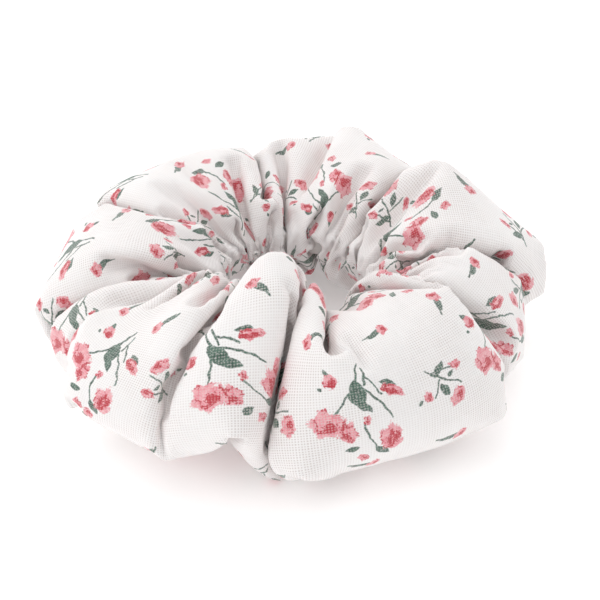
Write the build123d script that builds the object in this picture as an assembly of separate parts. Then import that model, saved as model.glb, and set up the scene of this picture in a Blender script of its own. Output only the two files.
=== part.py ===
"""A scrunchie: a gathered tube of printed cotton gauze, sewn into a ring around a loop of flat braided elastic.

The ring lies flat, its axis is +Z, and the origin is on the surface it lies on, under the ring's centre.
Every soft piece is one length of cloth, braid, rubber or thread all the way round. Each is modelled as a left
part and a right part, divided at the plane x = 0, because the two sides are pulled apart along X in use.
All sizes are in millimetres.
"""

import math
import os

from build123d import *

# The gathered tube
hole_radius = 17.0  # the clear hole that the hair goes through, at rest
tube_width = 40.5  # from the hole to the outside of the puffs
tube_height = 38.0
tube_corner_radius = 13.0
cover_wall = 2.0  # the thickness of the gathered cotton
side_gap = 0.3  # between the left and right parts of the cover

# The long seam: two plies of the cloth turned inwards below the elastic
seam_height = 9.0
seam_allowance = 6.0
seam_plies_thickness = 1.0
seam_root = 0.6  # how deep the turned plies reach into the wall

# The closing seam: one end of the tube tucked into the other
closing_angle = 150.0  # where it is round the ring, in degrees from +X
closing_lap_length = 8.0  # along the tube's middle
tucked_end_thickness = 0.8

# The elastic
band_height = 6.4
band_thickness = 1.2
tack_wall_clearance = 0.05  # between the bar tacks and the cover's wall
band_edge_round = 0.45  # of its thickness
lap_length = 12.0  # where the two ends of the elastic lie on each other
lap_clearance = 0.1
strand_count = 8
strand_diameter = 0.4
strand_clearance = 0.05
strand_edge_margin = 0.48  # from the band's edges to the first and last bore

# The threads
thread_diameter = 0.3
thread_turn = 0.45  # a stitch's corners turn within this share of its shorter side
thread_sinking = 0.05  # how deep a closing stitch lies below the cloth's face
seam_thread_threads = 2  # the long seam's thread runs this many threads out from the wall
stitch_length = 2.5
stitch_gap = 0.7
closing_stitch_gap = 1.2
bar_tack_rows = 2
bar_tack_row_spacing = 7.0
bar_tack_stitches = 4  # in each row, across the elastic: two or more
bar_tack_stitch_length = 1.0
bar_tack_margin = 0.8  # from the elastic's edges to the first stitch

# Worked out from the sizes above
outer_radius = hole_radius + tube_width
tube_middle_radius = hole_radius + tube_width / 2
corner_centre_r = hole_radius + tube_corner_radius
band_wall_clearance = thread_diameter + tack_wall_clearance
band_inner_radius = hole_radius + cover_wall + band_wall_clearance
band_middle_radius = band_inner_radius + band_thickness / 2
band_middle_height = tube_height / 2
strand_span = band_height - 2 * strand_edge_margin - strand_diameter - 2 * strand_clearance
strand_pitch = strand_span / (strand_count - 1)
lap_shift = band_thickness + lap_clearance  # how far the upper end is moved out
cavity_corner_radius = tube_corner_radius - cover_wall
seam_from_corner = abs(tube_corner_radius - seam_height)
seam_wall_r = corner_centre_r - math.sqrt(cavity_corner_radius**2 - seam_from_corner**2)
seam_thread_r = seam_wall_r + seam_thread_threads * thread_diameter
reach = 2 * outer_radius  # a length that passes the whole object


def tube_section(inset):
    """The tube's cross-section in the XZ plane, its sides moved inwards by inset."""
    middle = Location((tube_middle_radius, 0, tube_height / 2))
    section = RectangleRounded(
        tube_width - 2 * inset, tube_height - 2 * inset, tube_corner_radius - inset
    )
    return middle * Location((0, 0, 0), (90, 0, 0)) * section


def left_of(x):
    return Location((x - reach / 2, 0, 0)) * Box(reach, reach, reach)


def right_of(x):
    return Location((x + reach / 2, 0, 0)) * Box(reach, reach, reach)


def sector(shape, start, turn):
    """The shape in the XZ plane, turned about Z from start through turn degrees."""
    return Location((0, 0, 0), (0, 0, start)) * revolve(shape, Axis.Z, turn)


def cover_ring():
    """The whole tube: its wall, the plies of the long seam, and the tucked-in end."""
    wall = revolve(tube_section(0), Axis.Z) - revolve(tube_section(cover_wall), Axis.Z)
    seam_width = seam_root + seam_allowance
    seam_middle = seam_wall_r - seam_root + seam_width / 2
    plies = Location((seam_middle, 0, seam_height), (90, 0, 0)) * Rectangle(seam_width, seam_plies_thickness)
    lap_turn = math.degrees(closing_lap_length / tube_middle_radius)
    tucked_end = tube_section(cover_wall - seam_root) - tube_section(cover_wall + tucked_end_thickness)
    tucked_end = sector(tucked_end, closing_angle - lap_turn / 2, lap_turn)
    # The elastic and the seam's plies go through the tucked end, so it stands back from the elastic.
    way = Location((band_middle_radius, 0, band_middle_height), (90, 0, 0)) * Rectangle(
        2 * lap_shift + band_thickness, band_height + 2 * band_wall_clearance
    )
    return wall + (tucked_end - revolve(way, Axis.Z)) + revolve(plies, Axis.Z)


def band_section():
    centre = Location((band_middle_radius, 0, band_middle_height), (90, 0, 0))
    return centre * RectangleRounded(band_thickness, band_height, band_thickness * band_edge_round)


def strand_sections(diameter):
    """One round section for each rubber strand, stacked across the band."""
    first = band_middle_height - strand_pitch * (strand_count - 1) / 2
    heights = [first + strand_pitch * n for n in range(strand_count)]
    return [Location((band_middle_radius, 0, z), (90, 0, 0)) * Circle(diameter / 2) for z in heights]


def left_ends(shape):
    """The two ends of the elastic on the left, which pass each other by the lap. The second lies outside."""
    lap_turn = math.degrees(lap_length / 2 / band_middle_radius)
    quarter = 90 + lap_turn
    first = sector(shape, 90, quarter)
    second = Location((-lap_shift, 0, 0)) * sector(shape, 180 - lap_turn, quarter)
    keep = left_of(-side_gap / 2)
    return [first & keep, second & keep]


def right_side(shape):
    return [sector(shape, -90, 180) & right_of(side_gap / 2)]


def elastic_side(make_ends):
    """The braid of one side, with its bores, and the rubber strands in them."""
    bores = [make_ends(section) for section in strand_sections(strand_diameter + 2 * strand_clearance)]
    cores = [make_ends(section) for section in strand_sections(strand_diameter)]
    braid = []
    for end, solid in enumerate(make_ends(band_section())):
        for bore in bores:
            solid = solid - bore[end]
        braid.append(solid)
    return braid, [end for core in cores for end in core]


def stitch(length, depth):
    """One closed loop of thread, length along X and depth along Z between the middles of its runs."""
    turn_radius = min(thread_diameter, thread_turn * length, thread_turn * depth)
    path = (Plane.XZ * RectangleRounded(length, depth, turn_radius)).face().outer_wire()
    profile = Plane(origin=path @ 0, z_dir=path % 0) * Circle(thread_diameter / 2)
    return sweep(profile, path=path)


def seam_stitches(start, turn):
    """The long seam's stitches over part of the ring, one after another along the turned plies."""
    loop = stitch(stitch_length, seam_plies_thickness + thread_diameter)
    pitch = math.degrees((stitch_length + stitch_gap) / seam_thread_r)
    count = int(turn / pitch)
    first = start + (turn - pitch * (count - 1)) / 2
    made = []
    for n in range(count):
        spin = Location((0, 0, 0), (0, 0, first + pitch * n))
        made.append(spin * Location((seam_thread_r, 0, seam_height), (0, 0, 90)) * loop)
    return made


def closing_stitches():
    """The stitches of the closing seam, sunk into the cloth round the tube.

    None lie beside the elastic or across the long seam, where the plies are too thick to sew.
    """
    sunk = thread_diameter / 2 + thread_sinking
    depth = cover_wall + tucked_end_thickness - 2 * sunk
    loop = stitch(stitch_length, depth)
    outline = tube_section(sunk + depth / 2).face().outer_wire()
    count = int(outline.length / (stitch_length + closing_stitch_gap))
    kept_clear = {band_middle_height: band_height / 2, seam_height: seam_plies_thickness}
    made = []
    for n in range(count):
        share = (n + 0.5) / count
        point = outline @ share
        along = outline % share
        inside = point.X < corner_centre_r
        if inside and any(abs(point.Z - z) < half + stitch_length for z, half in kept_clear.items()):
            continue
        place = Plane(origin=point, x_dir=along, z_dir=Vector(0, 1, 0).cross(along))
        made.append(Location((0, 0, 0), (0, 0, closing_angle)) * place.location * loop)
    return made


def bar_tacks():
    """Rows of stitches across the lap that join the two ends of the elastic."""
    loop = stitch(bar_tack_stitch_length, band_thickness + lap_shift + thread_diameter)
    span = band_height - 2 * bar_tack_margin - bar_tack_stitch_length
    middle_r = band_inner_radius + (band_thickness + lap_shift) / 2
    made = []
    for row in range(bar_tack_rows):
        along = (row - (bar_tack_rows - 1) / 2) * bar_tack_row_spacing
        turn = 180 + math.degrees(along / band_middle_radius)
        for n in range(bar_tack_stitches):
            z = band_middle_height + span * (n / (bar_tack_stitches - 1) - 0.5)
            place = Location((middle_r, 0, z), (0, -90, 0))
            made.append(Location((0, 0, 0), (0, 0, turn)) * place * loop)
    return made


def write(name, solids):
    """One STEP file for a node, holding its separate solids."""
    os.makedirs("parts", exist_ok=True)
    flat = [solid for shape in solids for solid in shape.solids()]
    export_step(Compound(children=flat) if len(flat) > 1 else flat[0], f"parts/{name}.step")
    print(name, len(flat), "solids")


ring = cover_ring()
write("cover_left", [ring & left_of(-side_gap / 2)])
write("cover_right", [ring & right_of(side_gap / 2)])

left_braid, left_strands = elastic_side(left_ends)
right_braid, right_strands = elastic_side(right_side)
write("elastic_braid_left", left_braid)
write("elastic_braid_right", right_braid)
write("rubber_strands_left", left_strands)
write("rubber_strands_right", right_strands)

write("elastic_join_stitches", bar_tacks())
write("long_seam_stitches_left", seam_stitches(90, 180))
write("long_seam_stitches_right", seam_stitches(-90, 180))
write("closing_seam_stitches", closing_stitches())
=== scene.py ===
import math

import bpy
import numpy as np
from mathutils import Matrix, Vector


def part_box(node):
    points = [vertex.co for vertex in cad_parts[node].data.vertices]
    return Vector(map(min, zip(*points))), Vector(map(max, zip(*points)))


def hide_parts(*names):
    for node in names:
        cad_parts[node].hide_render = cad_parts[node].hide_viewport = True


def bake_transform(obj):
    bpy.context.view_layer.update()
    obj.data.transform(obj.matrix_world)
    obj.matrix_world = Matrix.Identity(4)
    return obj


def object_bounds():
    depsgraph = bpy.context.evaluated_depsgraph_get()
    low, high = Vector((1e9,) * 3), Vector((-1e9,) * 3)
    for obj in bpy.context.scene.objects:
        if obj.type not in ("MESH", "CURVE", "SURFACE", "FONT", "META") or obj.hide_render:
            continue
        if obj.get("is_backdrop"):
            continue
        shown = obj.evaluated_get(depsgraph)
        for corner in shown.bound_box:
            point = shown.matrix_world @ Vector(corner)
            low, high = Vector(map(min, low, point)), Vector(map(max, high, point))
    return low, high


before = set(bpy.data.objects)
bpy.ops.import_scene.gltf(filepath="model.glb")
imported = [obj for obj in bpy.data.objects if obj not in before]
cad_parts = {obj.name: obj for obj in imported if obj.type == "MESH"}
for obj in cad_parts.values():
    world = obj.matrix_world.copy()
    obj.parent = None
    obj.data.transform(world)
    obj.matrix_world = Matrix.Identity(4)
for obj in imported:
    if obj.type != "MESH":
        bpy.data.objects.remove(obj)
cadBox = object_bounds()
mm = 0.001

view = {
    "elevation": 37.0,  # degrees above the table
    "distance": 0.36,
    "lens": 90.0,
    "sensorWidth": 36.0,
    "clipStart": 0.01,
    "lookAt": (0.0012, 0.0, 0.016),
}

studio = {
    "floorSize": 6.0,
    "floorColor": (0.98, 0.98, 0.98),
    "floorRoughness": 0.85,
    "floorGlow": 0.14,  # the table is lit from below a little, as a light table is
    "skyColor": (1.0, 1.0, 1.0),
    "skyStrength": 1.0,
    "lampsAim": (0, 0, 0.02),
    "lamps": [  # place, size and power of each soft box
        {"name": "topBox", "at": (-0.15, 0.25, 0.75), "size": 0.5, "power": 1.3},
        {"name": "leftBox", "at": (-0.75, -0.25, 0.45), "size": 0.5, "power": 1.3},
    ],
}


def link(obj):
    bpy.context.scene.collection.objects.link(obj)
    return obj


def aimAt(obj, target):
    obj.rotation_mode = "QUATERNION"
    obj.rotation_quaternion = (Vector(target) - obj.location).to_track_quat("-Z", "Y")


def newFinish(name):
    finish = bpy.data.materials.new(name)
    finish.use_nodes = True
    return finish, finish.node_tree, finish.node_tree.nodes["Principled BSDF"]


# Fills a node's inputs, by name or number, with values or links.
def fill(node, values):
    for name, value in values.items():
        if isinstance(value, bpy.types.NodeSocket):
            node.id_data.links.new(value, node.inputs[name])
        else:
            node.inputs[name].default_value = value
    return node


def makeCamera():
    tilt = math.radians(view["elevation"])
    lookAt = Vector(view["lookAt"])
    data = bpy.data.cameras.new("camera")
    data.lens = view["lens"]
    data.sensor_width = view["sensorWidth"]
    data.clip_start = view["clipStart"]
    camera = link(bpy.data.objects.new("camera", data))
    camera.location = lookAt + Vector((0, -math.cos(tilt), math.sin(tilt))) * view["distance"]
    aimAt(camera, lookAt)
    bpy.context.scene.camera = camera


def squareCorners(half):
    return [(-half, -half, 0), (half, -half, 0), (half, half, 0), (-half, half, 0)]


def makeStudio():
    mesh = bpy.data.meshes.new("floor")
    mesh.from_pydata(squareCorners(studio["floorSize"] / 2), [], [(0, 1, 2, 3)])
    floor = link(bpy.data.objects.new("floor", mesh))
    paper, _, shader = newFinish("paleTable")
    fill(shader, {
        "Base Color": (*studio["floorColor"], 1), "Roughness": studio["floorRoughness"],
        "Emission Color": (1, 1, 1, 1), "Emission Strength": studio["floorGlow"],
    })
    mesh.materials.append(paper)
    floor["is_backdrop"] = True
    world = bpy.data.worlds.new("studio")
    world.use_nodes = True
    sky = {"Color": (*studio["skyColor"], 1), "Strength": studio["skyStrength"]}
    fill(world.node_tree.nodes["Background"], sky)
    bpy.context.scene.world = world
    for lamp in studio["lamps"]:
        data = bpy.data.lights.new(lamp["name"], "AREA")
        data.shape = "SQUARE"
        data.size = lamp["size"]
        data.energy = lamp["power"]
        light = link(bpy.data.objects.new(lamp["name"], data))
        light.location = lamp["at"]
        aimAt(light, studio["lampsAim"])
    bpy.context.scene.view_settings.view_transform = "Standard"


makeCamera()
makeStudio()
print("camera, floor and light are set")

# What the frame says about the elastic
braidLow, braidHigh = (Vector(corner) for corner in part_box("elastic_braid_right"))
elastic = {
    "middle": (braidLow.z + braidHigh.z) / 2,  # its height above the table
    "width": braidHigh.z - braidLow.z,
    "thickness": 1.2 * mm,
    "lapLength": 12 * mm,
    "lapClearance": 0.1 * mm,
    "yarns": 26,
    "yarnRadius": 0.19 * mm,
    "yarnSteps": 340,  # points along each yarn
    "yarnCrossing": 2.5,  # how quickly a yarn changes from one face of the band to the other
    "diagonals": 10,  # times that each yarn goes up and down on its way round
    "strands": 8,
    "strandRadius": 0.2 * mm,
    "strandSteps": 200,
    "strandMargin": 1.4 * mm,
}
elastic["radius"] = braidHigh.y - elastic["thickness"] / 2
elastic["lapTurn"] = elastic["lapLength"] / 2 / elastic["radius"]
elastic["lapShift"] = elastic["thickness"] + elastic["lapClearance"]


# Adds a node, with its settings, and fills its inputs.
def put(tree, kind, values=None, **settings):
    node = tree.nodes.new(kind)
    for name, value in settings.items():
        setattr(node, name, value)
    return fill(node, values or {})


# The tree that the sockets among some values belong to.
def treeOf(*values):
    return next(value.id_data for value in values if isinstance(value, bpy.types.NodeSocket))


def calc(operation, *values):
    return put(treeOf(*values), "ShaderNodeMath", dict(enumerate(values)), operation=operation).outputs[0]


def plus(first, second):
    return calc("ADD", first, second)


def minus(first, second):
    return calc("SUBTRACT", first, second)


def times(first, second):
    return calc("MULTIPLY", first, second)


def over(first, second):
    return calc("DIVIDE", first, second)


def vectorCalc(operation, *values):
    node = put(treeOf(*values), "ShaderNodeVectorMath", dict(enumerate(values)), operation=operation)
    return node.outputs["Value" if operation in ("LENGTH", "DOT_PRODUCT") else "Vector"]


def scaled(vector, factor):
    values = {0: vector, "Scale": factor}
    return put(vector.id_data, "ShaderNodeVectorMath", values, operation="SCALE").outputs[0]


def joined(x=0.0, y=0.0, z=0.0):
    return put(treeOf(x, y, z), "ShaderNodeCombineXYZ", {0: x, 1: y, 2: z}).outputs[0]


def noise(point, scale, detail=2.0):
    values = {"Vector": point, "Scale": scale, "Detail": detail}
    return put(point.id_data, "ShaderNodeTexNoise", values).outputs


# From 0 at low to 1 at high, with soft ends. Low may be the larger number.
def softStep(value, low, high):
    values = {"Value": value, "From Min": low, "From Max": high}
    return put(value.id_data, "ShaderNodeMapRange", values, interpolation_type="SMOOTHSTEP").outputs[0]


def most(values):
    result = values[0]
    for value in values[1:]:
        result = calc("MAXIMUM", result, value)
    return result


def blendColors(amount, first, second):
    return put(amount.id_data, "ShaderNodeMix", {0: amount, 6: first, 7: second}, data_type="RGBA").outputs[2]


# A node group with named sockets: its tree, its inputs, and the node that takes its outputs. The function
# after it sends those their values and returns the tree.
def newGroup(name, kind, inputs, outputs):
    tree = bpy.data.node_groups.new(name, kind)
    for side, sockets in (("INPUT", inputs), ("OUTPUT", outputs)):
        for label, socketKind in sockets.items():
            tree.interface.new_socket(name=label, in_out=side, socket_type="NodeSocket" + socketKind)
    return tree, tree.nodes.new("NodeGroupInput").outputs, tree.nodes.new("NodeGroupOutput")


def endGroup(result, values):
    return fill(result, values).id_data


def floats(*names):
    return dict.fromkeys(names, "Float")


def useGroup(tree, group, values):
    shapes = tree.bl_idname == "GeometryNodeTree"
    return put(tree, "GeometryNodeGroup" if shapes else "ShaderNodeGroup", values, node_tree=group).outputs


cover = {
    "clothLength": 470.0,  # along the tube, flat, in millimetres
    "clothRound": 108.0,  # round the tube, flat
    "gridAlong": 200,
    "gridRound": 50,
    "gatherEvery": 10,  # grid steps between the points that are held to the elastic
    "gatherRadius": 17.3,
    "gatherMiddle": (-1.0, 0.5),
    "gatherHeight": 19.0,
    "gatherUneven": 1.3,  # how far that line wanders up and down
    "startAngle": -88.0,  # where the first puff begins, in degrees from +X
    "pull": 0.85,  # how strongly the puffs are held in place while the cloth settles
    "patchTurn": 288,  # how far a held patch spreads: degrees for a whole round of the grid
    "valley": (32.0, 16.0),  # how far out and how high the folds between the puffs lie
    "valleyTop": (0.25, 0, 6),  # its share round the tube, and how much further out and up it is held
    "valleySide": (0.5, 14, 0),
    "thickness": 0.35,
    "onTable": 0.05,  # how high the lowest cloth lies
    "elasticRoom": 0.7,  # between the cloth's middle and the elastic
    "innerSide": 9.0,  # how far from the gathered line the cloth still lies within the elastic
    "pleatDepth": 0.5,  # fine pleats beside the elastic
    "pleatReach": 12.0,
    "pleatEvery": 5.2,
    "pleatWaves": (1, 6, 12),  # waves round the tube, how many are added up, and how much they differ
    "pleatGain": 2,
    "creaseDepth": 0.24,  # small creases everywhere
    "creaseWaves": (46, 5, 14, 22),  # the same, after the waves along the tube
    "creaseGain": 2.5,
    "clearingRounds": 4,  # how often the cloth is moved off the elastic and smoothed beside it
    "seed": 5,
}

# The puffs in turn round the ring, from the front to the right: each one's turn at the elastic, its share of
# the cloth, and where a few of its points go: (share along it, share round the tube, angle, radius, height).
puffs = [
    {"name": "frontRight", "turn": 56, "cloth": 92, "valley": (20, 10), "places": [
        (0.50, 0.25, -60, 38, 42), (0.50, 0.50, -60, 58, 13)]},
    {"name": "rightFlap", "turn": 30, "cloth": 50, "valley": (25, 20), "places": [
        (0.50, 0.24, -17, 40, 43), (0.50, 0.50, -17, 60, 14)]},
    {"name": "rightBack", "turn": 50, "cloth": 62, "places": [
        (0.55, 0.25, 28, 38, 50), (0.50, 0.50, 22, 56, 15)]},
    {"name": "backRight", "turn": 32, "cloth": 42, "valley": (26, 12), "places": [
        (0.50, 0.20, 66, 28, 42), (0.50, 0.50, 64, 54, 16)]},
    {"name": "back", "turn": 28, "cloth": 36, "places": [
        (0.50, 0.28, 93, 48, 41), (0.50, 0.50, 93, 56, 16)]},
    {"name": "backLeft", "turn": 44, "cloth": 54, "places": [
        (0.30, 0.20, 122, 31, 41), (0.85, 0.22, 158, 36, 40), (0.60, 0.45, 134, 54, 24)]},
    {"name": "left", "turn": 38, "cloth": 46, "places": [
        (0.50, 0.24, 176, 38, 40), (0.50, 0.50, 172, 59, 16)]},
    {"name": "leftRoll", "turn": 16, "cloth": 24, "places": [(0.50, 0.38, -164, 50, 20)]},
    {"name": "frontLeft", "turn": 66, "cloth": 90, "places": [
        (0.40, 0.25, -130, 38, 42), (0.50, 0.50, -125, 55, 12), (0.82, 0.22, -110, 20, 48)]},
]

# Each touch has its place (angle, radius, height) and how far the cloth there moves, in millimetres.
touches = [
    {"name": "lobe over the hole", "at": (-107, 24, 36), "move": (2.0, 5.0, 4.0), "reach": 17.0},
    {"name": "peak at the right back", "at": (34, 41, 38), "move": (0.0, 0.0, 7.0), "reach": 15.0},
    {"name": "corner at the left", "at": (-165, 33, 38), "move": (7.0, -2.0, 3.0), "reach": 10.0},
    {"name": "hollow under the corner", "at": (-148, 38, 34), "move": (1.0, 2.0, -8.0), "reach": 10.0},
    {"name": "low shoulder at the front left", "at": (-142, 52, 34), "move": (1.0, 0.0, -4.0), "reach": 14.0},
]

clothing = {
    "scale": 10.0,  # the simulation works on a scrunchie ten times as large, where its steps are stable
    "gatherFrames": 30,
    "releaseFrame": 54,
    "lastFrame": 58,
    "holdAfter": 0.0,  # the share of the pull that stays once the cloth settles
    "pressure": 20.0,
    "quality": 5,
    "mass": 0.12,
    "tension": 12,
    "compression": 8,
    "shear": 6,
    "bending": 8.0,
    "gravity": 0.4,
    "collisionQuality": 2,
    "tableDistance": 0.4,
    "selfDistance": 0.6,
    "floorDistance": 0.5,
    "floorFriction": 10,
    "selfFriction": 3,
    "releaseFrames": 4,  # how many frames the release takes
    "tableHalf": 5,
    "startLift": 2,
    "startNoise": 2.0,
    "startWaves": (11, 2, 8),  # along the tube, round it, and how many are added up
}


def polar(angle, radius, height):
    turn = math.radians(angle)
    return (radius * math.cos(turn), radius * math.sin(turn), height)


# A gentle random relief over the tube that closes both ways: waves along and round it.
def closedWaves(random, along, around, wavesAlong, wavesRound, count, spread=3):
    relief = np.zeros_like(along)
    for _ in range(count):
        lengthwise = random.integers(max(1, wavesAlong - spread), wavesAlong + spread)
        crosswise = random.integers(0, wavesRound + 1)
        shift = random.random(2) * 2 * math.pi
        relief += np.cos(lengthwise * along + shift[0]) * np.cos(crosswise * around + shift[1])
    return relief / count


# The tube before it is gathered, lying in a wide ring, and the same points where the elastic and the puffs
# pull them. Returns both in millimetres, with the pull on each point.
def layOutCover(random):
    along, around = cover["gridAlong"], cover["gridRound"]
    shares = np.cumsum([0.0] + [puff["cloth"] for puff in puffs])
    shares /= shares[-1]
    angles = np.cumsum([cover["startAngle"]] + [puff["turn"] for puff in puffs])
    steps = np.arange(along) / along
    gathered = np.interp(steps, shares, angles)
    spread = cover["startAngle"] + 360 * steps
    spread += np.mean(gathered - spread)
    turn, roll = np.meshgrid(np.radians(spread), np.arange(around) / around * 2 * math.pi, indexing="ij")
    ringRadius = cover["clothLength"] / (2 * math.pi)
    tubeRadius = cover["clothRound"] / (2 * math.pi)
    waves = clothing["startWaves"]
    swell = tubeRadius + closedWaves(random, turn, roll, *waves) * clothing["startNoise"]
    lift = closedWaves(random, turn, roll, *waves) * clothing["startNoise"]
    out = ringRadius - swell * np.cos(roll)
    height = clothing["startLift"] + tubeRadius + swell * np.sin(roll) + lift
    start = np.stack([out * np.cos(turn), out * np.sin(turn), height], -1)
    goal = start.copy()
    pull = np.zeros((along, around))
    wander = random.normal(0, cover["gatherUneven"], along)
    middle = np.array([*cover["gatherMiddle"], 0])
    for step in range(0, along, cover["gatherEvery"]):
        place = polar(gathered[step], cover["gatherRadius"], cover["gatherHeight"] + wander[step])
        goal[step, 0] = middle + place
        pull[step, 0] = 1

    # Holds a small patch of the cloth, three points each way.
    def hold(share, roundShare, angle, radius, height):
        for a in (-1, 0, 1):
            for b in (-1, 0, 1):
                spot = (round(share * along) + a) % along, (round(roundShare * around) + b) % around
                if pull[spot] == 0:
                    goal[spot] = polar(angle + a * cover["patchTurn"] / along, radius, height)
                    pull[spot] = cover["pull"]

    for puff, first, last, edge in zip(puffs, shares[:-1], shares[1:], angles[:-1]):
        for share, roundShare, angle, radius, height in puff["places"]:
            hold(first + (last - first) * share, roundShare, angle, radius, height)
        radius, height = puff.get("valley", cover["valley"])
        for roundShare, further, higher in (cover["valleyTop"], cover["valleySide"]):
            hold(first, roundShare, edge, radius + further, height + higher)
    return start, goal, pull


def tubeFaces(along, around):
    grid = np.arange(along * around).reshape(along, around)
    after = np.roll(grid, -1, 0)
    return np.stack([grid, np.roll(grid, -1, 1), np.roll(after, -1, 1), after], -1).reshape(-1, 4)


# Gathers the tube with Blender's cloth: the elastic's line draws in while a little air keeps the puffs full.
def gatherCover(start, goal, pull):
    scene = bpy.context.scene
    unit = clothing["scale"] * mm
    mesh = bpy.data.meshes.new("clothTube")
    mesh.from_pydata((start * unit).reshape(-1, 3).tolist(), [], tubeFaces(*pull.shape).tolist())
    cloth = link(bpy.data.objects.new("clothTube", mesh))
    group = cloth.vertex_groups.new(name="held")
    for index in np.flatnonzero(pull):
        group.add([int(index)], float(pull.flat[index]), "REPLACE")
    cloth.shape_key_add(name="Basis")
    key = cloth.shape_key_add(name="gathered")
    key.data.foreach_set("co", (goal * unit).ravel())
    key.value = 0
    key.keyframe_insert("value", frame=1)
    key.value = 1
    key.keyframe_insert("value", frame=clothing["gatherFrames"])
    plate = bpy.data.meshes.new("clothTable")
    plate.from_pydata(squareCorners(clothing["tableHalf"]), [], [(0, 1, 2, 3)])
    table = link(bpy.data.objects.new("clothTable", plate))
    table.modifiers.new("collision", "COLLISION")
    table.collision.thickness_outer = clothing["floorDistance"] * unit
    table.collision.cloth_friction = clothing["floorFriction"]
    modifier = cloth.modifiers.new("cloth", "CLOTH")
    settings = modifier.settings
    settings.quality = clothing["quality"]
    settings.mass = clothing["mass"]
    settings.bending_model = "ANGULAR"
    settings.tension_stiffness = clothing["tension"]
    settings.compression_stiffness = clothing["compression"]
    settings.shear_stiffness = clothing["shear"]
    settings.bending_stiffness = clothing["bending"]
    settings.vertex_group_mass = "held"
    settings.pin_stiffness = 1
    settings.keyframe_insert("pin_stiffness", frame=clothing["releaseFrame"] - clothing["releaseFrames"])
    settings.pin_stiffness = clothing["holdAfter"]
    settings.keyframe_insert("pin_stiffness", frame=clothing["releaseFrame"])
    settings.use_pressure = True
    settings.uniform_pressure_force = clothing["pressure"]
    settings.effector_weights.gravity = clothing["gravity"]
    collisions = modifier.collision_settings
    collisions.collision_quality = clothing["collisionQuality"]
    collisions.distance_min = clothing["tableDistance"] * unit
    collisions.use_self_collision = True
    collisions.self_distance_min = clothing["selfDistance"] * unit
    collisions.self_friction = clothing["selfFriction"]
    modifier.point_cache.frame_start = 1
    modifier.point_cache.frame_end = clothing["lastFrame"]
    for frameNumber in range(1, clothing["lastFrame"] + 1):
        scene.frame_set(frameNumber)
    evaluated = cloth.evaluated_get(bpy.context.evaluated_depsgraph_get())
    settled = np.empty(start.size, np.float32)
    evaluated.data.vertices.foreach_get("co", settled)
    scene.frame_set(1)
    for obj in (cloth, table):
        data = obj.data
        bpy.data.objects.remove(obj)
        bpy.data.meshes.remove(data)
    return settled.reshape(start.shape).astype(float) / unit


# Last touches: the cloth round a place moves over, less and less with distance.
def touchUp(points):
    for touch in touches:
        place = np.array(polar(*touch["at"]))
        gap = np.linalg.norm(points - place, axis=-1, keepdims=True)
        points = points + np.exp(-(gap / touch["reach"]) ** 2) * touch["move"]
    return points


# Doubles a closed grid of points along one direction, on smooth curves through the old ones.
def finer(points, axis):
    before, after, next2 = (np.roll(points, shift, axis) for shift in (1, -1, -2))
    between = (9 * (points + after) - before - next2) / 16
    both = np.stack([points, between], axis + 1)
    shape = list(points.shape)
    shape[axis] *= 2
    return both.reshape(shape)


def ofLengthOne(vectors):
    return vectors / np.maximum(np.linalg.norm(vectors, axis=-1, keepdims=True), 1e-9)


def outward(points):
    lengthwise = np.roll(points, -1, 0) - np.roll(points, 1, 0)
    crosswise = np.roll(points, -1, 1) - np.roll(points, 1, 1)
    return ofLengthOne(np.cross(crosswise, lengthwise))


# Fine pleats where the cloth is gathered, and small creases that run away from the elastic.
def addPleats(points, random):
    along, around = points.shape[:2]
    turn, roll = np.meshgrid(
        np.arange(along) / along * 2 * math.pi, np.arange(around) / around * 2 * math.pi, indexing="ij"
    )
    fromGather = np.minimum(roll, 2 * math.pi - roll) / (2 * math.pi) * cover["clothRound"]
    pleatWaves = round(cover["clothLength"] / cover["pleatEvery"])
    pleats = closedWaves(random, turn, roll, pleatWaves, *cover["pleatWaves"]) * cover["pleatGain"]
    creases = closedWaves(random, turn, roll, *cover["creaseWaves"]) * cover["creaseGain"]
    near = np.exp(-(fromGather / cover["pleatReach"]) ** 2)
    relief = cover["pleatDepth"] * near * pleats + cover["creaseDepth"] * (0.5 + near) * creases
    return points + outward(points) * relief[..., None]


# Moves what lies in the band's way out of it: the gathered side to within the band, the rest over or round.
def leaveElastic(points):
    around = points.shape[1]
    roll = np.arange(around) / around
    inner = (np.minimum(roll, 1 - roll) * cover["clothRound"] < cover["innerSide"])[None, :]
    radius = np.hypot(points[..., 0], points[..., 1])
    room = cover["elasticRoom"]
    half = elastic["thickness"] / mm / 2
    nearRadius = elastic["radius"] / mm - half - room
    farRadius = elastic["radius"] / mm + half + room + (points[..., 0] < 0) * elastic["lapShift"] / mm
    low = elastic["middle"] / mm - elastic["width"] / mm / 2 - room
    high = elastic["middle"] / mm + elastic["width"] / mm / 2 + room
    height = points[..., 2]
    crossing = (radius > nearRadius) & (radius < farRadius) & (height > low) & (height < high)
    ways = np.stack([farRadius - radius, high - height, height - low], -1)
    nearest = ways.argmin(-1)
    newRadius = np.where(inner, nearRadius, np.where(nearest == 0, farRadius, radius))
    newHeight = np.where(inner | (nearest == 0), height, np.where(nearest == 1, high, low))
    cleared = points.copy()
    cleared[..., :2] *= (newRadius / radius)[..., None]
    cleared[..., 2] = newHeight
    return np.where(crossing[..., None], cleared, points)


# Keeps the cloth off the elastic inside it, and takes the cloth beside it along, so that it drapes over
# the band.
def clearElastic(points):
    for _ in range(cover["clearingRounds"]):
        moved = leaveElastic(points) - points
        for axis in (0, 1, 0, 1, 0, 1):
            moved = (np.roll(moved, 1, axis) + 2 * moved + np.roll(moved, -1, axis)) / 4
        points = points + moved
    return leaveElastic(points)


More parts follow.
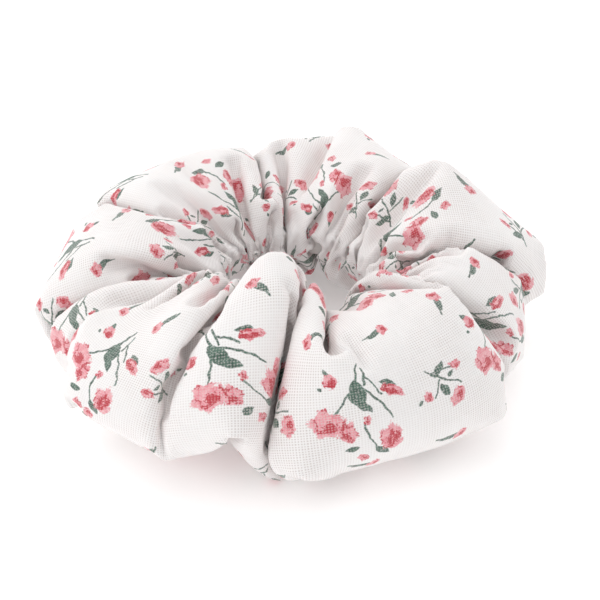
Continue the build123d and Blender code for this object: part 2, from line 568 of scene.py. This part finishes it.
def meshCover(points):
    along, around = points.shape[:2]
    mesh = bpy.data.meshes.new("gathered_cover")
    mesh.from_pydata((points * mm).reshape(-1, 3).tolist(), [], tubeFaces(along, around).tolist())
    mesh.shade_smooth()
    # The cloth's own plan, in metres: each face's corners in it, so that the seams don't smear.
    step, side = np.meshgrid(np.arange(along), np.arange(around), indexing="ij")
    plan = np.stack([step, side], -1).reshape(-1, 1, 2) + np.array([[0, 0], [0, 1], [1, 1], [1, 0]])
    plan = plan * (cover["clothLength"] * mm / along, cover["clothRound"] * mm / around)
    layer = mesh.uv_layers.new(name="clothPlan")
    layer.data.foreach_set("uv", plan.astype(np.float32).ravel())
    piece = link(bpy.data.objects.new("gathered_cover", mesh))
    wall = piece.modifiers.new("wall", "SOLIDIFY")
    wall.thickness = cover["thickness"] * mm
    wall.offset = -1
    return asPlainMesh(piece)


# Turns an object with its modifiers into a plain mesh object of the same name.
def asPlainMesh(piece):
    evaluated = piece.evaluated_get(bpy.context.evaluated_depsgraph_get())
    mesh = bpy.data.meshes.new_from_object(evaluated)
    name = piece.name
    bpy.data.objects.remove(piece)
    return link(bpy.data.objects.new(name, mesh))


# The line that the elastic follows, as Along goes from 0 to 1: once round the ring from its outer end on the
# left to its inner end there. The outer end is moved out by the lap, which fades before the front.
def elasticPath():
    inputs = floats("Along", "Radius", "Lap Turn", "Lap Shift")
    outputs = {"Middle": "Vector", "Out": "Vector"}
    _, given, result = newGroup("elasticPath", "GeometryNodeTree", inputs, outputs)
    whole = plus(2 * math.pi, times(given["Lap Turn"], 2))
    turned = minus(times(given["Along"], whole), given["Lap Turn"])
    angle = plus(turned, math.pi)
    out = joined(calc("COSINE", angle), calc("SINE", angle))
    shift = times(softStep(turned, math.pi / 2, given["Lap Turn"]), given["Lap Shift"])
    moved = joined(times(shift, -1))
    onRing = scaled(out, given["Radius"])
    return endGroup(result, {"Middle": vectorCalc("ADD", onRing, moved), "Out": out})


def shape(tree, kind, values=None, **settings):
    return put(tree, "GeometryNode" + kind, values, **settings).outputs[0]


# A thread of six sides along each curve.
def sweep(tree, curve, radius, capped):
    section = shape(tree, "CurvePrimitiveCircle", {"Resolution": 6, "Radius": radius})
    return shape(tree, "CurveToMesh", {"Curve": curve, "Profile Curve": section, "Fill Caps": capped})


# Ends a tree in plain, smooth geometry with its finish.
def endTree(tree, given, result, made):
    smooth = shape(tree, "SetShadeSmooth", {0: shape(tree, "RealizeInstances", {0: made})})
    finished = shape(tree, "SetMaterial", {"Geometry": smooth, "Material": given["Finish"]})
    return endGroup(result, {"Geometry": finished})


# Runs of thread, yarn or rubber, side by side along the elastic: each one is a line of points whose places
# come from a formula, swept with a round section.
def runsTree(name, path, placeRun, extra):
    sizes = ("Run Radius", "Radius", "Middle Height", "Width", "Thickness", "Lap Turn", "Lap Shift", extra)
    inputs = {"Runs": "Int", "Steps": "Int", **floats(*sizes), "Finish": "Material"}
    tree, given, result = newGroup(name, "GeometryNodeTree", inputs, {"Geometry": "Geometry"})
    line, rows = (shape(tree, "MeshLine", {"Count": given[label]}) for label in ("Steps", "Runs"))
    copies = shape(tree, "InstanceOnPoints", {"Points": rows, "Instance": line})
    lines = shape(tree, "RealizeInstances", {0: copies})
    index = shape(tree, "InputIndex")
    run = calc("FLOOR", over(plus(index, 0.5), given["Steps"]))
    step = minus(index, times(run, given["Steps"]))
    along = over(step, minus(given["Steps"], 1))
    shared = {label: given[label] for label in ("Radius", "Lap Turn", "Lap Shift")}
    onPath = useGroup(tree, path, {"Along": along, **shared})
    up, off = placeRun(tree, given, run, along)
    height = joined(z=plus(up, given["Middle Height"]))
    place = vectorCalc("ADD", scaled(onPath["Out"], off), height)
    place = vectorCalc("ADD", place, onPath["Middle"])
    placed = shape(tree, "SetPosition", {"Geometry": lines, "Position": place})
    curves = shape(tree, "MeshToCurve", {0: placed})
    return endTree(tree, given, result, sweep(tree, curves, given["Run Radius"], True))


# A braid yarn goes up across the band on its outer face and comes down on its inner face.
def placeYarn(tree, given, run, along):
    phase = times(along, given["Diagonals"])
    phase = plus(phase, over(run, given["Runs"]))
    wave = calc("PINGPONG", times(phase, 2), 1)
    room = minus(given["Width"], times(given["Run Radius"], 2))
    up = times(minus(wave, 0.5), room)
    around = calc("SINE", times(phase, 2 * math.pi))
    face = times(around, elastic["yarnCrossing"])
    face = put(tree, "ShaderNodeClamp", {"Value": face, "Min": -1.0, "Max": 1.0}).outputs[0]
    reach = minus(over(given["Thickness"], 2), given["Run Radius"])
    return up, times(face, reach)


# The rubber strands lie one above another in the middle of the band.
def placeStrand(tree, given, run, along):
    share = over(run, minus(given["Runs"], 1))
    room = minus(given["Width"], given["Margin"])
    return times(minus(share, 0.5), room), times(along, 0)


# Makes a piece from a tree: the values go in by socket, and what comes out becomes a plain mesh.
def grow(name, tree, values, base=None):
    mesh = base or bpy.data.meshes.new(name)
    piece = link(bpy.data.objects.new(name, mesh))
    modifier = piece.modifiers.new("shape", "NODES")
    modifier.node_group = tree
    sockets = {s.name: s.identifier for s in tree.interface.items_tree if s.in_out == "INPUT"}
    for label, value in values.items():
        modifier[sockets[label]] = value
    return asPlainMesh(piece)


# One closed loop of thread at each point, its length along the seam and its depth into the cloth.
def stitchTree():
    inputs = {"Geometry": "Geometry", **floats("Length", "Depth", "Thread Radius"), "Finish": "Material"}
    tree, given, result = newGroup("stitches", "GeometryNodeTree", inputs, {"Geometry": "Geometry"})
    values = {"Width": given["Length"], "Height": given["Depth"]}
    outline = shape(tree, "CurvePrimitiveQuadrilateral", values)
    corner = times(given["Thread Radius"], 2)
    rounded = shape(tree, "FilletCurve", {"Curve": outline, "Radius": corner, "Count": 3}, mode="POLY")
    loop = sweep(tree, rounded, given["Thread Radius"], False)
    alongSeam, outOfCloth = (
        shape(tree, "InputNamedAttribute", {"Name": name}, data_type="FLOAT_VECTOR")
        for name in ("along", "out")
    )
    align = "FunctionNodeAlignRotationToVector"
    turned = put(tree, align, {"Vector": alongSeam}, axis="X").outputs[0]
    values = {"Rotation": turned, "Vector": outOfCloth}
    turned = put(tree, align, values, axis="Y", pivot_axis="X").outputs[0]
    values = {"Points": given["Geometry"], "Instance": loop, "Rotation": turned}
    copies = shape(tree, "InstanceOnPoints", values)
    return endTree(tree, given, result, copies)


# Points for the stitches, with the way that the seam runs and the way out of the cloth at each.
def stitchPoints(name, places, along, out):
    mesh = bpy.data.meshes.new(name)
    mesh.from_pydata(np.asarray(places).tolist(), [], [])
    for label, values in (("along", along), ("out", out)):
        layer = mesh.attributes.new(label, "FLOAT_VECTOR", "POINT")
        layer.data.foreach_set("vector", np.asarray(values, np.float32).ravel())
    return mesh


# Every so many millimetres of a closed line on the cloth: the place, the line's way and the way out.
def spotsOnLine(line, normals, every, depth):
    after = np.roll(line, -1, 0)
    lengths = np.linalg.norm(after - line, axis=1)
    reached = np.concatenate([[0], np.cumsum(lengths)])
    count = int(reached[-1] / every)
    spots = (np.arange(count) + 0.5) * reached[-1] / count
    closed = np.concatenate([line, line[:1]])
    closedNormals = np.concatenate([normals, normals[:1]])

    def valuesAt(where, values):
        return np.stack([np.interp(where, reached, values[:, i]) for i in range(3)], -1)

    places = valuesAt(spots, closed)
    way = ofLengthOne(valuesAt(spots + sewing["lookAhead"], closed) - places)
    out = ofLengthOne(valuesAt(spots, closedNormals))
    return (places - out * depth) * mm, way, out


sewing = {
    "threadRadius": 0.15 * mm,
    "stitchLength": 2.5 * mm,
    "longSeamDepth": 1.3 * mm,
    "longSeamEvery": 3.2,  # in millimetres of cloth
    "longSeamInset": 1.1,  # the middle of its stitches lies inside the tube
    "closingInset": 0.6,
    "longSeamShare": 0.92,  # where it runs round the tube, from the gathered line
    "lookAhead": 0.3,  # how far on a seam's way is taken from
    "closingDepth": 1.6 * mm,
    "closingEvery": 3.7,
    "closingPuff": "backLeft",  # the tube is closed in the fold before this puff
    "tackLength": 1.0 * mm,
    "tackMargin": 0.8 * mm,
    "tackRows": 2,
    "tackSpacing": 7.0 * mm,
    "tacksInRow": 4,
}


def bandValues(runs, steps, runRadius, finish):
    return {
        "Runs": runs, "Steps": steps, "Run Radius": runRadius, "Radius": elastic["radius"],
        "Middle Height": elastic["middle"], "Width": elastic["width"], "Thickness": elastic["thickness"],
        "Lap Turn": elastic["lapTurn"], "Lap Shift": elastic["lapShift"], "Finish": finish,
    }


def makeElastic(braidFinish, rubberFinish):
    path = elasticPath()
    braid = runsTree("braid", path, placeYarn, "Diagonals")
    values = bandValues(elastic["yarns"], elastic["yarnSteps"], elastic["yarnRadius"], braidFinish)
    loop = grow("elastic_loop", braid, {**values, "Diagonals": float(elastic["diagonals"])})
    rubber = runsTree("rubber", path, placeStrand, "Margin")
    values = bandValues(elastic["strands"], elastic["strandSteps"], elastic["strandRadius"], rubberFinish)
    strands = grow("rubber_core", rubber, {**values, "Margin": elastic["strandMargin"]})
    return loop, strands


def makeStitches(finish):
    tree = stitchTree()
    normals = outward(settled)
    along, around = settled.shape[:2]
    common = {"Thread Radius": sewing["threadRadius"], "Finish": finish}

    # Sews a line on the cloth, with the seam's own values from the dictionary.
    def sew(name, seam, where):
        spots = spotsOnLine(settled[where], normals[where], sewing[seam + "Every"], sewing[seam + "Inset"])
        values = {**common, "Length": sewing["stitchLength"], "Depth": sewing[seam + "Depth"]}
        return grow(name, tree, values, stitchPoints(name, *spots))

    column = round(sewing["longSeamShare"] * around)
    longSeam = sew("long_seam_thread", "longSeam", (slice(None), column))
    names = [puff["name"] for puff in puffs]
    before = sum(puff["cloth"] for puff in puffs[:names.index(sewing["closingPuff"])])
    row = round(before / sum(puff["cloth"] for puff in puffs) * along)
    closing = sew("closing_seam_thread", "closing", row)
    return longSeam, closing, makeTacks(tree, common)


# The bar tacks stand in rows across the lapped ends of the elastic.
def makeTacks(tree, common):
    places, ways, outs = [], [], []
    span = elastic["width"] - 2 * sewing["tackMargin"] - sewing["tackLength"]
    radius = elastic["radius"] + elastic["lapShift"] / 2
    for row in range(sewing["tackRows"]):
        shift = (row - (sewing["tackRows"] - 1) / 2) * sewing["tackSpacing"] / elastic["radius"]
        for number in range(sewing["tacksInRow"]):
            height = elastic["middle"] + span * (number / (sewing["tacksInRow"] - 1) - 0.5)
            angle = 180 + math.degrees(shift)
            places.append(polar(angle, radius, height))
            ways.append((0, 0, 1))
            outs.append(polar(angle, 1, 0))
    depth = elastic["thickness"] + elastic["lapShift"] + 2 * sewing["threadRadius"]
    values = {**common, "Length": sewing["tackLength"], "Depth": depth}
    return grow("bar_tacks", tree, values, stitchPoints("bar_tacks", places, ways, outs))


def turnFlat(vector, angle):
    values = {"Vector": vector, "Angle": angle}
    return put(vector.id_data, "ShaderNodeVectorRotate", values, rotation_type="Z_AXIS").outputs[0]


# Where a shape of the print lies: the point seen from the shape's own middle, turned with it, in millimetres.
def seenFrom(point, x, y, turn=0.0):
    moved = vectorCalc("SUBTRACT", point, (x, y, 0.0))
    if not turn:
        return moved
    return turnFlat(moved, -math.radians(turn))


def parts(vector):
    return put(vector.id_data, "ShaderNodeSeparateXYZ", {0: vector}).outputs


rose = {
    "wobbleScale": 1.6,  # of the noise that makes the outline and the folds uneven
    "fleckScale": 7.0,
    "edge": 0.86,
    "edgeFleck": 0.45,
    "lobes": 5,  # petals round the outline
    "lobeDepth": 0.06,
    "windings": 6.0,  # how close together the folds wind towards the heart
    "foldWobble": 11,
    "foldFleck": 3.4,
    "sideTurn": 2.3,  # one side of a rose is darker, and the seed turns it
    "sideWeight": 0.45,
    "heart": (0.25, 0.12, 0),
}


# A rose head of radius 1: its petals' outline, and the darker folds that wind towards its heart.
def roseGroup():
    inputs = {"Point": "Vector", "Seed": "Float"}
    _, given, result = newGroup("printedRose", "ShaderNodeTree", inputs, floats("Petals", "Folds"))
    axes = parts(given["Point"])
    radius = vectorCalc("LENGTH", given["Point"])
    angle = calc("ARCTAN2", axes[1], axes[0])
    seed = given["Seed"]
    shifted = vectorCalc("ADD", given["Point"], joined(z=seed))
    wobble = minus(noise(shifted, rose["wobbleScale"])[0], 0.5)
    fleck = minus(noise(shifted, rose["fleckScale"], 1.0)[0], 0.5)
    lobes = calc("SINE", plus(times(angle, rose["lobes"]), seed))
    edge = plus(rose["edge"], times(lobes, rose["lobeDepth"]))
    edge = plus(edge, plus(wobble, times(fleck, rose["edgeFleck"])))
    petals = softStep(minus(radius, edge), 0.07, -0.05)
    winding = minus(times(radius, rose["windings"]), angle)
    winding = plus(plus(winding, times(wobble, rose["foldWobble"])), seed)
    crescents = plus(calc("SINE", winding), times(fleck, rose["foldFleck"]))
    side = calc("COSINE", plus(angle, times(seed, rose["sideTurn"])))
    crescents = plus(crescents, times(side, rose["sideWeight"]))
    folds = softStep(crescents, 0.3, 0.75)
    folds = times(folds, softStep(radius, 1.0, 0.86))
    heart = vectorCalc("LENGTH", vectorCalc("SUBTRACT", given["Point"], rose["heart"]))
    heart = softStep(plus(heart, fleck), 0.36, 0.24)
    folds = calc("MAXIMUM", folds, heart)
    return endGroup(result, {"Petals": petals, "Folds": times(folds, petals)})


# A leaf from the origin along +X, pointed at both ends.
def leafGroup():
    inputs = {"Point": "Vector", **floats("Length", "Width")}
    _, given, result = newGroup("printedLeaf", "ShaderNodeTree", inputs, floats("Leaf"))
    axes = parts(given["Point"])
    along = minus(times(over(axes[0], given["Length"]), 2), 1)
    bow = minus(1, times(along, along))
    half = times(bow, over(given["Width"], 2))
    gap = minus(calc("ABSOLUTE", axes[1]), half)
    return endGroup(result, {"Leaf": softStep(gap, 0.12, -0.12)})


# A stem from the origin along +X that bows sideways, as a parabola does.
def stemGroup():
    inputs = {"Point": "Vector", **floats("Length", "Bow", "Thickness")}
    _, given, result = newGroup("printedStem", "ShaderNodeTree", inputs, floats("Stem"))
    axes = parts(given["Point"])
    share = over(axes[0], given["Length"])
    middle = times(times(share, share), given["Bow"])
    gap = calc("ABSOLUTE", minus(axes[1], middle))
    line = softStep(minus(gap, over(given["Thickness"], 2)), 0.14, -0.06)
    ends = times(softStep(share, -0.02, 0.03), softStep(share, 1.02, 0.97))
    return endGroup(result, {"Stem": times(line, ends)})


# The three sprays of the print, drawn in millimetres. A rose is (x, y, turn, length, width), a leaf
# (x, y, turn, length, width) and a stem (x, y, turn, length, bow, thickness).
sprays = {
    "bouquet": {
        "roses": [
            (-3.6, 2.2, 10, 3.5, 3.2), (0.6, 3.6, 60, 2.5, 2.1), (8.9, 3.9, 65, 3.6, 2.2),
            (-5.6, -6.2, 20, 1.9, 1.6), (6.6, -6.3, 15, 2.9, 1.3), (5.6, 9.6, 20, 1.5, 1.1),
            (3.4, 0.4, 80, 1.2, 0.9),
        ],
        "leaves": [
            (-1.4, -7.6, 62, 6.6, 3.0), (-0.4, -4.2, 35, 5.2, 1.7), (-7.6, -8.2, 35, 2.4, 1.1),
            (3.7, -8.1, 10, 3.6, 1.3), (4.0, 6.6, 155, 3.0, 1.6), (6.6, 6.2, 30, 4.2, 1.7),
            (-6.4, -3.9, 200, 1.1, 0.8),
        ],
        "stems": [
            (-0.8, -7.2, 100, 8.0, 0.8, 0.38), (0.6, -6.0, 20, 9.0, 2.6, 0.34),
            (-0.8, -7.0, 250, 4.6, 0.9, 0.38), (0.8, -6.6, 262, 4.4, -0.6, 0.38),
            (0.4, -8.6, 30, 5.0, 0.7, 0.3), (3.0, 1.2, 62, 8.2, -1.6, 0.3),
        ],
    },
    "branch": {
        "roses": [(-2.9, 3.6, 20, 2.3, 1.7), (3.6, 2.2, 70, 1.7, 1.1), (-3.4, -2.6, 140, 1.4, 0.9)],
        "leaves": [
            (-0.4, -0.4, 140, 3.2, 1.6), (0.6, -1.8, 15, 4.0, 1.5), (-4.2, -3.4, 210, 1.4, 0.9),
            (2.4, 1.6, 200, 1.6, 0.8),
        ],
        "stems": [
            (1.8, -4.4, 112, 8.6, -1.6, 0.34), (1.2, -3.2, 62, 5.8, 0.9, 0.3),
            (0.4, -1.0, 172, 4.0, 0.6, 0.3),
        ],
    },
    "sprig": {
        "roses": [(0.5, 2.0, 30, 1.7, 1.3)],
        "leaves": [(-0.6, -2.2, 78, 3.9, 1.3)],
        "stems": [(-0.4, -3.2, 80, 4.4, -0.5, 0.34)],
    },
}


def sprayGroup(name, spray, roseTree, leafTree, stemTree):
    outputs = floats("Petals", "Folds", "Green")
    tree, given, result = newGroup(name, "ShaderNodeTree", {"Point": "Vector"}, outputs)
    petals, folds, green = [], [], []
    for number, (x, y, turn, length, width) in enumerate(spray["roses"]):
        near = seenFrom(given["Point"], x, y, turn)
        near = vectorCalc("DIVIDE", near, (length, width, 1.0))
        head = useGroup(tree, roseTree, {"Point": near, "Seed": number * 1.7})
        petals.append(head["Petals"])
        folds.append(head["Folds"])
    for x, y, turn, length, width in spray["leaves"]:
        near = seenFrom(given["Point"], x, y, turn)
        green.append(useGroup(tree, leafTree, {"Point": near, "Length": length, "Width": width})[0])
    for x, y, turn, length, bow, thickness in spray["stems"]:
        near = seenFrom(given["Point"], x, y, turn)
        values = {"Point": near, "Length": length, "Bow": bow, "Thickness": thickness}
        green.append(useGroup(tree, stemTree, values)[0])
    return endGroup(result, {"Petals": most(petals), "Folds": most(folds), "Green": most(green)})


# Deals the cloth out in cells, bricklike, and gives the point seen from the middle of its own cell, with a
# turn and a small shift that differ from cell to cell.
def cellGroup():
    inputs = {"Point": "Vector", "Cell": "Vector", "Offset": "Vector", **floats("Turn", "Shift", "Seed")}
    tree, given, result = newGroup("printCells", "ShaderNodeTree", inputs, {"Point": "Vector"})
    cells = vectorCalc("DIVIDE", vectorCalc("ADD", given["Point"], given["Offset"]), given["Cell"])
    axes = parts(cells)
    row = calc("FLOOR", axes[1])
    across = plus(axes[0], times(row, 0.5))
    column = calc("FLOOR", across)
    cell = joined(column, row, given["Seed"])
    chances = put(tree, "ShaderNodeTexWhiteNoise", {"Vector": cell}, noise_dimensions="3D").outputs
    inCell = joined(*(minus(minus(*pair), 0.5) for pair in ((across, column), (axes[1], row))))
    local = vectorCalc("MULTIPLY", inCell, given["Cell"])
    wander = vectorCalc("SUBTRACT", chances["Color"], (0.5, 0.5, 0.5))
    wander = scaled(wander, given["Shift"])
    local = vectorCalc("MULTIPLY", vectorCalc("SUBTRACT", local, wander), (1.0, 1.0, 0.0))
    angle = times(minus(chances["Value"], 0.5), given["Turn"])
    return endGroup(result, {"Point": turnFlat(local, angle)})


# A plain weave: how high the yarns stand, from 0 to 1, and how open the gap between them is. The yarns are
# uneven, so the weave shows in some places and melts away in others.
def weaveGroup():
    inputs = {"Point": "Vector", **floats("Pitch", "Uneven")}
    _, given, result = newGroup("weave", "ShaderNodeTree", inputs, floats("Height", "Gap"))
    axes = parts(given["Point"])
    yarns = []
    for main, other in ((0, 1), (1, 0)):
        place = joined(times(axes[main], 0.9), times(axes[other], 0.03), main * 7.0)
        slub = noise(place, 1.0)[0]
        drift = times(minus(slub, 0.5), given["Uneven"])
        turns = plus(over(axes[main], given["Pitch"]), drift)
        wave = calc("COSINE", times(turns, 2 * math.pi))
        yarns.append(plus(0.5, times(wave, 0.5)))
    gap = times(minus(1, yarns[0]), minus(1, yarns[1]))
    return endGroup(result, {"Height": most(yarns), "Gap": gap})


# The printed gauze's colours and relief
gauze = {
    "pitch": 0.55,  # of the weave, in millimetres
    "cloth": (0.915, 0.86, 0.845, 1),
    "gap": (0.58, 0.48, 0.46, 1),  # between the yarns, where the shadow inside shows through
    "petals": (0.76, 0.225, 0.265, 1),
    "petalsPale": (0.82, 0.36, 0.39, 1),
    "folds": (0.47, 0.04, 0.055, 1),
    "green": (0.036, 0.08, 0.058, 1),
    "greenPale": (0.08, 0.15, 0.112, 1),
    "cell": 34.0,
    "roughness": 0.88,
    "roughnessRange": 0.08,
    "weaveRelief": 0.05,
    "weaveUneven": 0.5,
    "crinkleRelief": 0.16,
    "crinkleScale": (0.55, 0.14, 1.0),
    "wavers": ((0.45, 1.1), (2.4, 0.24)),  # scale of each wave in the print's outlines, and its reach
    "patchScale": 0.06,  # of the places where the weave shows more
    "openness": (0.35, 0.5),  # of the weave everywhere, and added in those places
    "brushScale": 0.8,  # of the lighter and darker strokes in the inks
    "fleckScale": 2.6,  # of the flecks where the ink is thin
    "thinInk": (0.7, 0.3),  # the least ink, and what is added outside the flecks
    "inkInGaps": 0.75,
    "shader": {
        "Specular IOR Level": 0.25, "Sheen Weight": 0.25, "Sheen Roughness": 0.5,
        "Subsurface Weight": 0.35, "Subsurface Radius": (1.0, 0.8, 0.75), "Subsurface Scale": 0.003,
    },
}


def gauzeFinish(weave):
    finish, tree, shader = newFinish("printedGauze")
    point = scaled(put(tree, "ShaderNodeUVMap", uv_map="clothPlan").outputs[0], 1000.0)
    motifs, cells = (roseGroup(), leafGroup(), stemGroup()), cellGroup()
    cell = gauze["cell"]
    lattices = {  # each spray's cell, offset, greatest turn, shift and seed
        "bouquet": ((cell, cell * 0.9, 1.0), (0.0, 0.0, 0.0), 0.9, 3.0, 1.0),
        "branch": ((cell, cell * 0.9, 1.0), (cell * 0.5, 1.0, 0.0), 5.5, 2.0, 2.0),
        "sprig": ((cell * 0.5, cell * 0.9, 1.0), (cell * 0.25, cell * 0.45, 0.0), 5.5, 3.0, 3.0),
    }
    # The outlines waver, as if drawn by hand and soaked into the yarns.
    drawn = point
    for scale, reach in gauze["wavers"]:
        waver = vectorCalc("SUBTRACT", noise(point, scale, 1.0)[1], (0.5, 0.5, 0.5))
        drawn = vectorCalc("ADD", drawn, vectorCalc("MULTIPLY", waver, (reach, reach, 0)))
    inks = {"Petals": [], "Folds": [], "Green": []}
    for name, (size, offset, turn, shift, seed) in lattices.items():
        values = {"Point": drawn, "Cell": size, "Offset": offset, "Turn": turn, "Shift": shift, "Seed": seed}
        local = useGroup(tree, cells, values)["Point"]
        spray = useGroup(tree, sprayGroup(name, sprays[name], *motifs), {"Point": local})
        for label, found in inks.items():
            found.append(spray[label])
    petals, folds, green = (most(inks[label]) for label in ("Petals", "Folds", "Green"))
    woven = useGroup(tree, weave, {"Point": point, "Pitch": gauze["pitch"], "Uneven": gauze["weaveUneven"]})
    patch = softStep(noise(point, gauze["patchScale"])[0], 0.38, 0.62)
    everywhere, inPatches = gauze["openness"]
    openness = times(woven["Gap"], plus(everywhere, times(patch, inPatches)))
    brush = softStep(noise(point, gauze["brushScale"], 3.0)[0], 0.35, 0.65)
    fleck = softStep(noise(point, gauze["fleckScale"], 1.0)[0], 0.66, 0.56)
    ground = blendColors(openness, gauze["cloth"], gauze["gap"])
    soak = minus(1, times(openness, gauze["inkInGaps"]))
    leastInk, moreInk = gauze["thinInk"]
    soak = times(soak, plus(leastInk, times(fleck, moreInk)))
    rosy = blendColors(brush, gauze["petals"], gauze["petalsPale"])
    leafy = blendColors(brush, gauze["green"], gauze["greenPale"])
    color = blendColors(times(green, soak), ground, leafy)
    color = blendColors(times(petals, soak), color, rosy)
    color = blendColors(times(folds, soak), color, gauze["folds"])
    stretched = vectorCalc("MULTIPLY", point, gauze["crinkleScale"])
    crinkle = noise(stretched, 1.0, 3.0)[0]
    height = times(woven["Height"], gauze["weaveRelief"] * mm)
    height = plus(height, times(crinkle, gauze["crinkleRelief"] * mm))
    bump = put(tree, "ShaderNodeBump", {"Height": height, "Distance": 1.0, "Strength": 1.0}).outputs[0]
    rough = times(minus(patch, 0.5), gauze["roughnessRange"])
    rough = plus(gauze["roughness"], rough)
    fill(shader, {"Base Color": color, "Roughness": rough, "Normal": bump, **gauze["shader"]})
    return finish


# Fine slanting fibres, as on spun yarn and thread, and a slower change in how they take the light.
def fibresGroup():
    outputs = floats("Shade", "Height", "Roughness")
    inputs = {"Point": "Vector", **floats("Grain", "Relief", "Smoothest")}
    tree, given, result = newGroup("fibres", "ShaderNodeTree", inputs, outputs)
    values = {"Vector": given["Point"], "Scale": given["Grain"], "Distortion": 4.0, "Detail": 2.0}
    lines = put(tree, "ShaderNodeTexWave", values, bands_direction="DIAGONAL").outputs[1]
    slower = times(given["Grain"], 0.4)
    soft = noise(given["Point"], slower, 3.0)[0]
    rough = plus(given["Smoothest"], times(soft, 0.15))
    height = times(lines, given["Relief"])
    return endGroup(result, {"Shade": times(lines, soft), "Height": height, "Roughness": rough})


def yarnFinish(name, fibres, look):
    finish, tree, shader = newFinish(name)
    point = scaled(put(tree, "ShaderNodeTexCoord").outputs["Object"], 1 / mm)
    values = {"Grain": look["grain"], "Relief": look["relief"] * mm, "Smoothest": look["smoothest"]}
    found = useGroup(tree, fibres, {"Point": point, **values})
    bump = put(tree, "ShaderNodeBump", {"Height": found["Height"], "Distance": 1.0}).outputs[0]
    color = blendColors(found["Shade"], look["shade"], look["color"])
    values = {"Base Color": color, "Roughness": found["Roughness"], "Sheen Weight": look["sheen"]}
    fill(shader, {**values, "Normal": bump})
    return finish


yarnLooks = {
    "elasticYarn": {
        "color": (0.9, 0.88, 0.86, 1), "shade": (0.6, 0.57, 0.55, 1), "grain": 3.0, "relief": 0.03,
        "smoothest": 0.6, "sheen": 0.3},
    "elasticRubber": {
        "color": (0.78, 0.72, 0.6, 1), "shade": (0.6, 0.53, 0.42, 1), "grain": 1.0, "relief": 0.01,
        "smoothest": 0.45, "sheen": 0.0},
    "sewingThread": {
        "color": (0.92, 0.88, 0.87, 1), "shade": (0.68, 0.6, 0.6, 1), "grain": 4.0, "relief": 0.03,
        "smoothest": 0.55, "sheen": 0.2},
}


random = np.random.default_rng(cover["seed"])
start, goal, pull = layOutCover(random)
settled = gatherCover(start, goal, pull)
settled -= (0, 0, settled[..., 2].min() - cover["onTable"])
print("the cover is gathered")
settled = clearElastic(addPleats(finer(finer(touchUp(settled), 0), 1), random))
settled[..., 2] = np.maximum(settled[..., 2], cover["onTable"])
gatheredCover = meshCover(settled)
print("the cover has", len(gatheredCover.data.polygons), "faces")
fibres = fibresGroup()
finishes = {name: yarnFinish(name, fibres, look) for name, look in yarnLooks.items()}
finishes["printedGauze"] = gauzeFinish(weaveGroup())
gatheredCover.data.materials.append(finishes["printedGauze"])
elasticLoop, rubberStrands = makeElastic(finishes["elasticYarn"], finishes["elasticRubber"])
longSeam, closingSeam, joinTacks = makeStitches(finishes["sewingThread"])
print("the elastic and the sewing are made")

pieces = [
    (gatheredCover, "printed_cotton", ("cover_left", "cover_right")),
    (elasticLoop, "elastic_braid", ("elastic_braid_left", "elastic_braid_right")),
    (rubberStrands, "elastic_rubber", ("rubber_strands_left", "rubber_strands_right")),
    (longSeam, "sewing_thread", ("long_seam_stitches_left", "long_seam_stitches_right")),
    (closingSeam, "sewing_thread", ("closing_seam_stitches",)),
    (joinTacks, "sewing_thread", ("elastic_join_stitches",)),
]
for piece, slot, nodes in pieces:
    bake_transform(piece)
    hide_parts(*nodes)

boxes = {"cad": cadBox, "visual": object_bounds()}
boxes = {name: [list(map(float, corner)) for corner in box] for name, box in boxes.items()}
